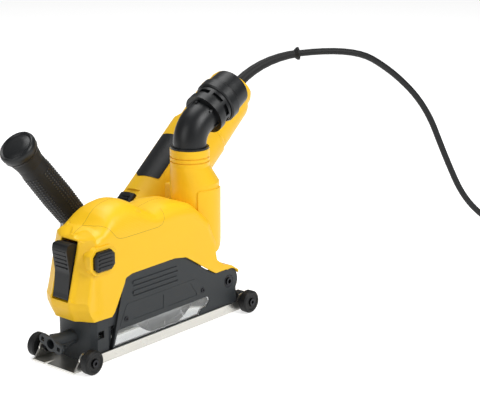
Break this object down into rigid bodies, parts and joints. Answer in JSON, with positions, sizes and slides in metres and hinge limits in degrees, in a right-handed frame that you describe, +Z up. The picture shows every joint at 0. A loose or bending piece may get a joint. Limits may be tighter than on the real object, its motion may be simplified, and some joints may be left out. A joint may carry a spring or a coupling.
{
  "type": "wall chaser",
  "caption": "Plunge wall chaser: cutting discs in a hinged hood over a rolling shoe, with a tilted motor, side grip, swivel dust elbow and mains cord.",
  "frame": {"origin": "centre of the shoe's underside, midway between the rollers and on the line midway between the two discs", "axes": "+X along the cut towards the motor's tail and the cord, +Y towards the motor side, +Z up out of the wall"},
  "size_m": [1.032, 0.2272, 0.2853],
  "materials": {
    "yellow_shell": "moulded nylon, satin",
    "dark_plastic": "moulded, fine grain",
    "grey_plastic": "glass-filled, fine grain",
    "rubber": "matt rubber",
    "stainless": "folded stainless sheet",
    "steel": "turned steel",
    "blackened_steel": "blackened steel screws",
    "cast_aluminium": "cast, dark powder coat",
    "disc_steel": "ground core, diamond rim",
    "laminations": "stacked laminations",
    "copper": "turned copper",
    "carbon": "pressed carbon",
    "clear_plastic": "clear polycarbonate"
  },
  "bodies": {
    "base": {"shoe": "stainless", "front_block": "grey_plastic", "guide_socket": "grey_plastic", "side_panel_near": "grey_plastic", "side_panel_far": "grey_plastic", "panel_insert": "grey_plastic", "insert_screws": "blackened_steel", "windows": "clear_plastic", "rear_bracket": "dark_plastic", "roller_bolts": "blackened_steel", "pivot_pin": "steel", "pivot_screws": "blackened_steel", "plunge_spring": "steel"},
    "roller_front_near": {"roller_front_near": "rubber"},
    "roller_front_far": {"roller_front_far": "rubber"},
    "roller_rear_near": {"roller_rear_near": "rubber"},
    "roller_rear_far": {"roller_rear_far": "rubber"},
    "upper": {"shroud_near": "yellow_shell", "shroud_far": "yellow_shell", "shroud_screws": "steel", "lever_pin": "steel", "button_spring": "steel", "dust_tube": "yellow_shell", "port_bracket": "yellow_shell", "gear_case": "cast_aluminium", "case_cover": "cast_aluminium", "case_screws": "steel", "bearings": "steel", "stator": "laminations", "brush_holders": "dark_plastic", "brushes": "carbon", "switch_module": "dark_plastic", "motor_housing": "yellow_shell", "name_panel": "dark_plastic", "tail_cover": "yellow_shell", "handle_grip": "rubber", "handle_cap": "dark_plastic", "handle_stud": "steel", "cord_sleeve": "rubber", "cord_clamp": "dark_plastic", "cord": "rubber", "cord_coil": "rubber", "plug": "dark_plastic"},
    "spindle": {"spindle": "steel", "crown_gear": "steel", "inner_flange": "steel", "disc_inner": "disc_steel", "disc_outer": "disc_steel", "disc_spacer": "steel", "clamp_nut": "steel"},
    "armature": {"pinion": "steel", "armature": "laminations", "commutator": "copper", "cooling_fan": "dark_plastic"},
    "release_lever": {"release_lever": "dark_plastic"},
    "side_button": {"side_button": "dark_plastic"},
    "spindle_lock": {"spindle_lock": "dark_plastic"},
    "slide_switch": {"slide_switch": "dark_plastic"},
    "dust_elbow": {"dust_elbow": "dark_plastic"},
    "hose_collar": {"hose_collar": "dark_plastic"}
  },
  "joints": [
    {"name": "plunge", "type": "hinge", "parent": "base", "child": "upper", "pos_m": [0.106, 0, 0.0394], "axis": [0, -1, 0], "range_deg": [0, 3], "stiffness_Nm_per_rad": 12, "springref_deg": -14.32},
    {"name": "roller_front_near_spin", "type": "hinge", "parent": "base", "child": "roller_front_near", "pos_m": [-0.1289, -0.042, 0.0109], "axis": [0, 1, 0], "continuous": true},
    {"name": "roller_front_far_spin", "type": "hinge", "parent": "base", "child": "roller_front_far", "pos_m": [-0.1289, 0.042, 0.0109], "axis": [0, 1, 0], "continuous": true},
    {"name": "roller_rear_near_spin", "type": "hinge", "parent": "base", "child": "roller_rear_near", "pos_m": [0.1289, -0.042, 0.0109], "axis": [0, 1, 0], "continuous": true},
    {"name": "roller_rear_far_spin", "type": "hinge", "parent": "base", "child": "roller_rear_far", "pos_m": [0.1289, 0.042, 0.0109], "axis": [0, 1, 0], "continuous": true},
    {"name": "spindle_spin", "type": "hinge", "parent": "upper", "child": "spindle", "pos_m": [0.0135, 0, 0.0635], "axis": [0, 1, 0], "continuous": true},
    {"name": "armature_spin", "type": "hinge", "parent": "upper", "child": "armature", "pos_m": [0.0135, 0.07, 0.0635], "axis": [0.766, 0, 0.6428], "continuous": true},
    {"name": "lever_press", "type": "hinge", "parent": "upper", "child": "release_lever", "pos_m": [-0.125, 0, 0.077], "axis": [0, 1, 0], "range_deg": [0, 6], "stiffness_Nm_per_rad": 1.5, "springref_deg": -6.88},
    {"name": "button_press", "type": "slide", "parent": "upper", "child": "side_button", "axis": [0, 1, 0], "range_m": [0, 0.003], "stiffness_N_per_m": 600, "springref_m": -0.003},
    {"name": "lock_press", "type": "slide", "parent": "upper", "child": "spindle_lock", "axis": [0, -1, 0], "range_m": [0, 0.003], "stiffness_N_per_m": 600, "springref_m": -0.003},
    {"name": "switch_slide", "type": "slide", "parent": "upper", "child": "slide_switch", "axis": [0.766, 0, 0.6428], "range_m": [0, 0.006]},
    {"name": "elbow_swivel", "type": "hinge", "parent": "upper", "child": "dust_elbow", "pos_m": [0.0733, 0, 0.202], "axis": [0, 0, 1], "range_deg": [-170, 3]},
    {"name": "collar_turn", "type": "hinge", "parent": "dust_elbow", "child": "hose_collar", "pos_m": [0.11997, 0, 0.24817], "axis": [0.891, 0, 0.454], "continuous": true}
  ],
  "couplings": [
    {"joint": "armature_spin", "follows": "spindle_spin", "ratio": 3.7778}
  ]
}
